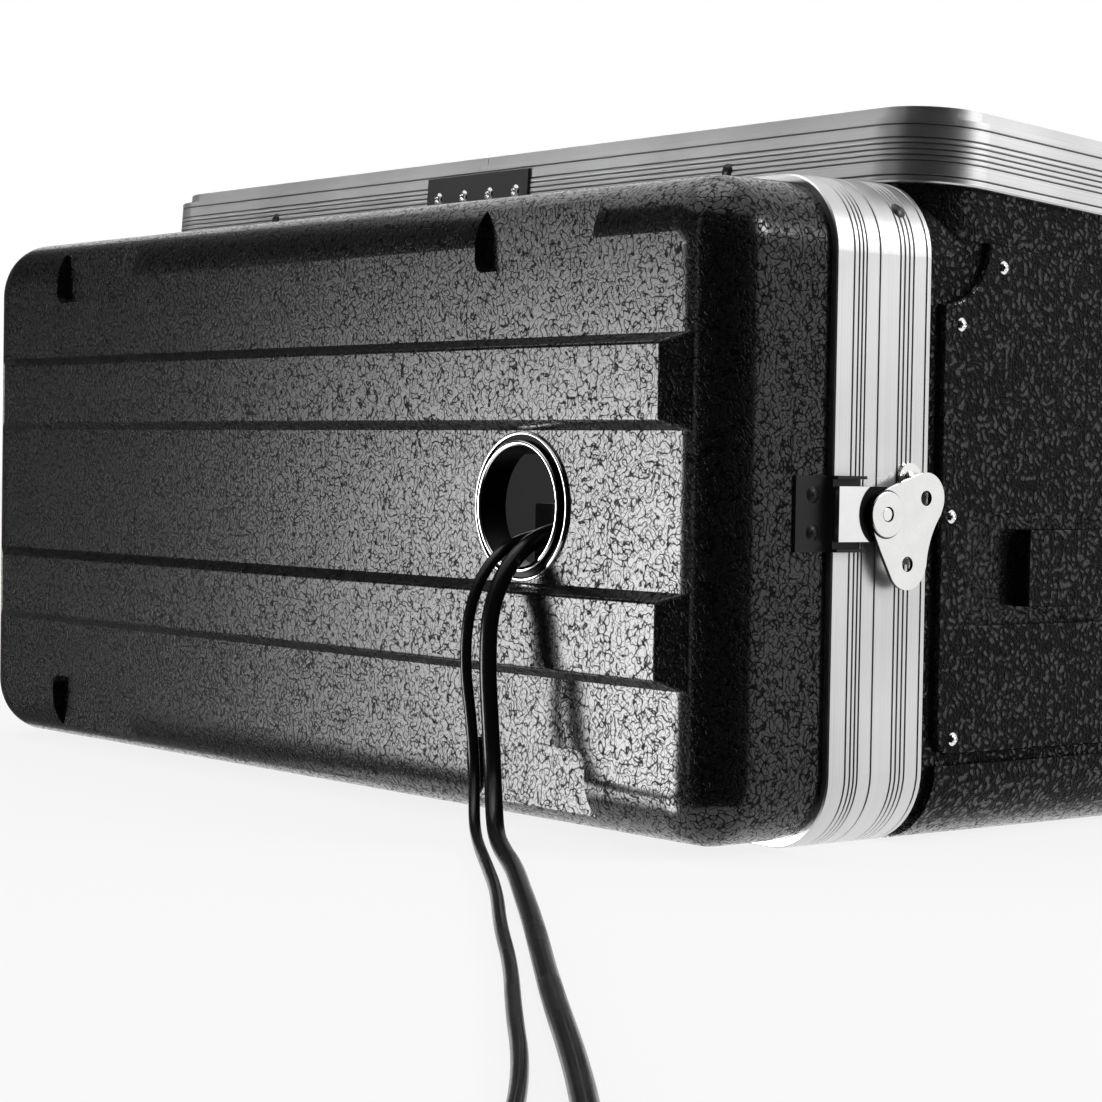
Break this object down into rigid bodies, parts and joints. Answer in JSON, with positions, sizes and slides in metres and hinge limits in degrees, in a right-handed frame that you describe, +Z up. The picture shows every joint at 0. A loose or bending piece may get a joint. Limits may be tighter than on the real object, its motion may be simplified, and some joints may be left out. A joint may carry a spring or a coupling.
{
  "type": "slant-top mixer rack case",
  "caption": "Slant-top formed rack case for a mixer, with extruded valances, lift-off rear door, half-turn latches, folding handles, and cords led out through a ring in the door.",
  "frame": {"origin": "middle of the underside of the case with its door on, without the cords", "axes": "+Z up, -Y towards the open front, +Y towards the rear door, +X to the right seen from the front"},
  "size_m": [1.0207, 1.026, 0.2839],
  "materials": {
    "shell": "leather-grained",
    "valance": "satin",
    "black_rivet": "satin",
    "splice": "dark satin",
    "bright_rivet": "polished",
    "steel": "satin black",
    "rail": "zinc plated",
    "screw": "black oxide",
    "handle": "satin black",
    "keeper": "blackened",
    "grip": "matte",
    "latch": "nickel plated",
    "gasket": "foam",
    "port": "polished",
    "nut": "moulded",
    "anchor": "moulded",
    "cord": "satin",
    "plug": "moulded",
    "blade": "plain",
    "jack": "nickel plated"
  },
  "bodies": {
    "case": {"body_shell": "shell", "front_post_left": "steel", "front_post_right": "steel", "front_rail_left": "rail", "front_rail_right": "rail", "front_valance": "valance", "handle_pins": "screw", "handle_rivets": "bright_rivet", "handle_well_left": "handle", "handle_well_right": "handle", "latch_base_left": "latch", "latch_base_right": "latch", "latch_rivets": "latch", "latch_spindles": "latch", "rail_screws": "screw", "rear_post_left": "steel", "rear_post_right": "steel", "rear_rail_left": "rail", "rear_rail_right": "rail", "rear_valance": "valance", "side_rivets": "bright_rivet", "splice_rivets": "bright_rivet", "top_bar_left": "steel", "top_bar_right": "steel", "top_rail_left": "rail", "top_rail_right": "rail", "top_splice_plate": "splice", "top_valance": "valance", "valance_rivets": "black_rivet"},
    "rear_door": {"audio_coil": "cord", "audio_cord": "cord", "audio_plug": "jack", "cable_port_nut": "nut", "cable_port_ring": "port", "cord_anchor": "anchor", "cord_anchor_screws": "screw", "cord_bracket": "steel", "door_gasket": "gasket", "door_shell": "shell", "door_valance": "valance", "door_valance_rivets": "black_rivet", "keeper_left": "keeper", "keeper_right": "keeper", "keeper_rivets": "keeper", "mains_coil": "cord", "mains_cord": "cord", "mains_plug": "plug", "mains_plug_pins": "blade"},
    "latch_left": {"latch_cam_left": "latch", "latch_cap_left": "latch", "latch_wing_left": "latch"},
    "hook_left": {"latch_hook_left": "latch"},
    "handle_left": {"handle_bail_left": "handle", "handle_grip_left": "grip"},
    "latch_right": {"latch_cam_right": "latch", "latch_cap_right": "latch", "latch_wing_right": "latch"},
    "hook_right": {"latch_hook_right": "latch"},
    "handle_right": {"handle_bail_right": "handle", "handle_grip_right": "grip"}
  },
  "joints": [
    {"name": "rear_door_lift_off", "type": "slide", "parent": "case", "child": "rear_door", "axis": [0, 1, 0], "range_m": [0, 0.12]},
    {"name": "latch_left_turn", "type": "hinge", "parent": "case", "child": "latch_left", "pos_m": [-0.285, 0.224, 0.127], "axis": [-1, 0, 0], "range_deg": [0, 180]},
    {"name": "hook_left_draw", "type": "slide", "parent": "case", "child": "hook_left", "axis": [0, 1, 0], "range_m": [0, 0.00405]},
    {"name": "handle_left_swing", "type": "hinge", "parent": "case", "child": "handle_left", "pos_m": [-0.276, -0.0395, 0.1337], "axis": [0, 1, 0], "range_deg": [0, 90]},
    {"name": "latch_right_turn", "type": "hinge", "parent": "case", "child": "latch_right", "pos_m": [0.285, 0.224, 0.127], "axis": [-1, 0, 0], "range_deg": [0, 180]},
    {"name": "hook_right_draw", "type": "slide", "parent": "case", "child": "hook_right", "axis": [0, 1, 0], "range_m": [0, 0.00405]},
    {"name": "handle_right_swing", "type": "hinge", "parent": "case", "child": "handle_right", "pos_m": [0.276, -0.0395, 0.1337], "axis": [0, -1, 0], "range_deg": [0, 90]}
  ],
  "couplings": [
    {"joint": "hook_left_draw", "follows": "latch_left_turn", "m_per_rad": 0.00127},
    {"joint": "hook_right_draw", "follows": "latch_right_turn", "m_per_rad": 0.00127}
  ]
}
